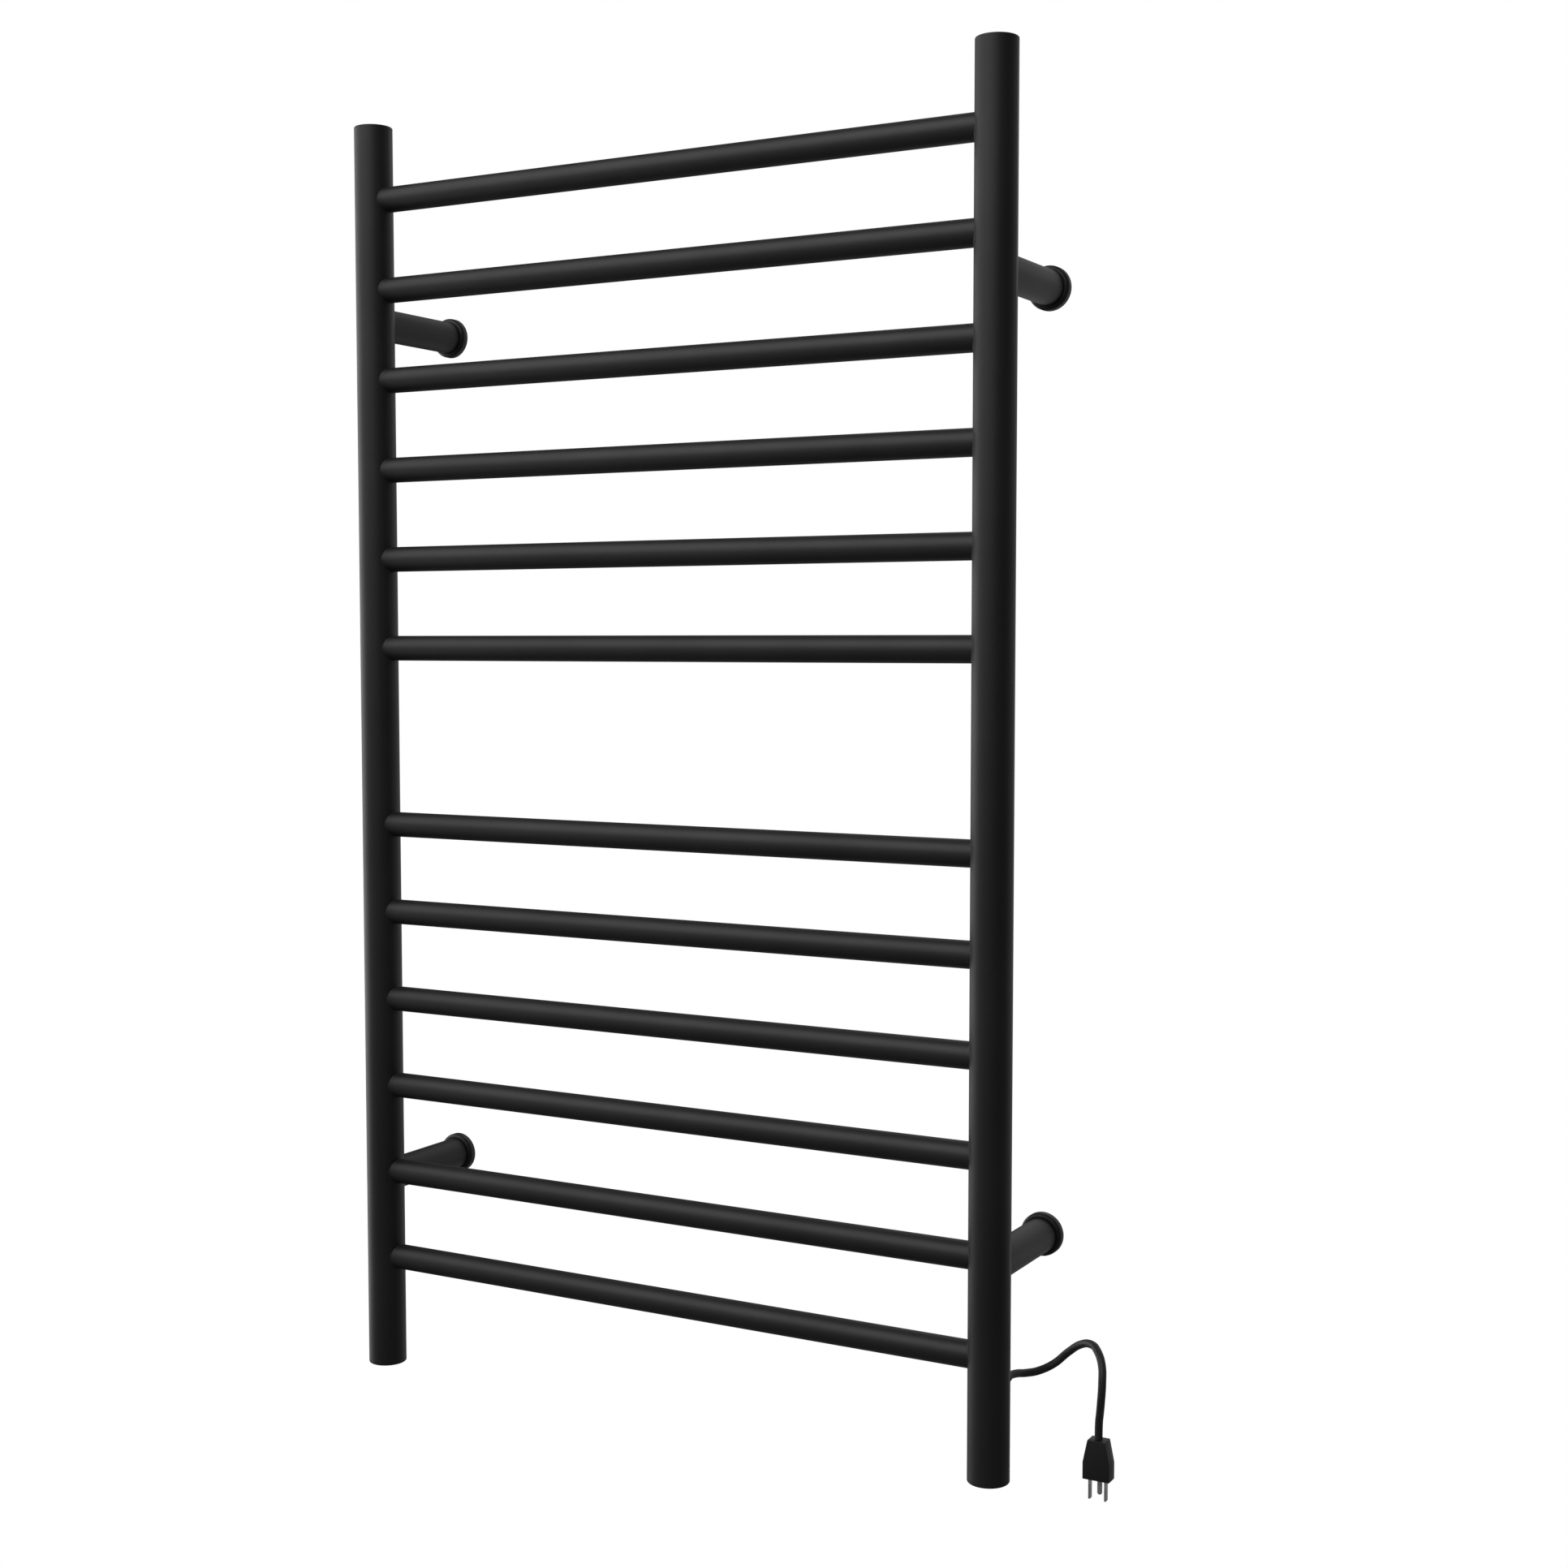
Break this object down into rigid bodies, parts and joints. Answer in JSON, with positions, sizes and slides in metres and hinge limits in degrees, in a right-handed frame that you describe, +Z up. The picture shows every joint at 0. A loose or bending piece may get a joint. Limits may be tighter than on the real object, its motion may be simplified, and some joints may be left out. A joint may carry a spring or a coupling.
{
  "type": "towel warmer rack",
  "caption": "Wall-mounted electric towel warmer: round matt black bars between uprights on stand-off posts, with a short mains cord and plug.",
  "frame": {"origin": "on the wall plane, at the centre of the rectangle of the wall screw holes", "axes": "+X right along the bars, +Y into the wall, +Z up"},
  "size_m": [0.6585, 0.121, 1.0795],
  "materials": {
    "powder_black": "matt black powder coat, fine texture",
    "cover_black": "matt black powder coat on a turned ring",
    "zinc_base": "zinc plated steel",
    "black_oxide": "black oxide steel",
    "zinc_insert": "zinc plated steel",
    "silicone_red": "silicone rubber heating cable",
    "wire_white": "insulated wire",
    "cutout_case": "moulded case of the thermal cut-out",
    "splice_nylon": "nylon closed-end connector",
    "wire_black": "insulated wire",
    "wire_green": "insulated wire",
    "tinned_brass": "plain brass",
    "boot_rubber": "moulded flexible boot",
    "cord_sheath": "extruded cord sheath",
    "plug_plastic": "moulded plug body",
    "pin_metal": "nickel plated pins"
  },
  "bodies": {
    "root": {"left_upright": "powder_black", "right_upright": "powder_black", "bar_01": "powder_black", "bar_02": "powder_black", "bar_03": "powder_black", "bar_04": "powder_black", "bar_05": "powder_black", "bar_06": "powder_black", "bar_07": "powder_black", "bar_08": "powder_black", "bar_09": "powder_black", "bar_10": "powder_black", "bar_11": "powder_black", "bar_12": "powder_black", "upper_left_cap": "powder_black", "upper_right_cap": "powder_black", "lower_left_cap": "powder_black", "lower_right_cap": "powder_black", "upper_left_post": "powder_black", "upper_right_post": "powder_black", "lower_left_post": "powder_black", "lower_right_post": "powder_black", "upper_left_wall_base": "zinc_base", "upper_right_wall_base": "zinc_base", "lower_left_wall_base": "zinc_base", "lower_right_wall_base": "zinc_base", "grub_screws": "black_oxide", "frame_screws": "black_oxide", "frame_inserts": "zinc_insert", "heating_cable": "silicone_red", "return_lead": "wire_white", "thermal_cutout": "cutout_case", "wire_splices": "splice_nylon", "live_core": "wire_black", "neutral_core": "wire_white", "earth_core": "wire_green", "earth_lug": "tinned_brass", "earth_screw": "tinned_brass", "strain_relief": "boot_rubber", "power_cord": "cord_sheath", "plug_body": "plug_plastic", "plug_blades": "pin_metal", "earth_pin": "pin_metal"},
    "upper_left_cover": {"upper_left_cover": "cover_black"},
    "upper_right_cover": {"upper_right_cover": "cover_black"},
    "lower_left_cover": {"lower_left_cover": "cover_black"},
    "lower_right_cover": {"lower_right_cover": "cover_black"}
  },
  "joints": [
    {"name": "upper_left_cover_slide", "type": "slide", "parent": "root", "child": "upper_left_cover", "axis": [0, -1, 0], "range_m": [0, 0.08]},
    {"name": "upper_right_cover_slide", "type": "slide", "parent": "root", "child": "upper_right_cover", "axis": [0, -1, 0], "range_m": [0, 0.08]},
    {"name": "lower_left_cover_slide", "type": "slide", "parent": "root", "child": "lower_left_cover", "axis": [0, -1, 0], "range_m": [0, 0.08]},
    {"name": "lower_right_cover_slide", "type": "slide", "parent": "root", "child": "lower_right_cover", "axis": [0, -1, 0], "range_m": [0, 0.08]}
  ]
}
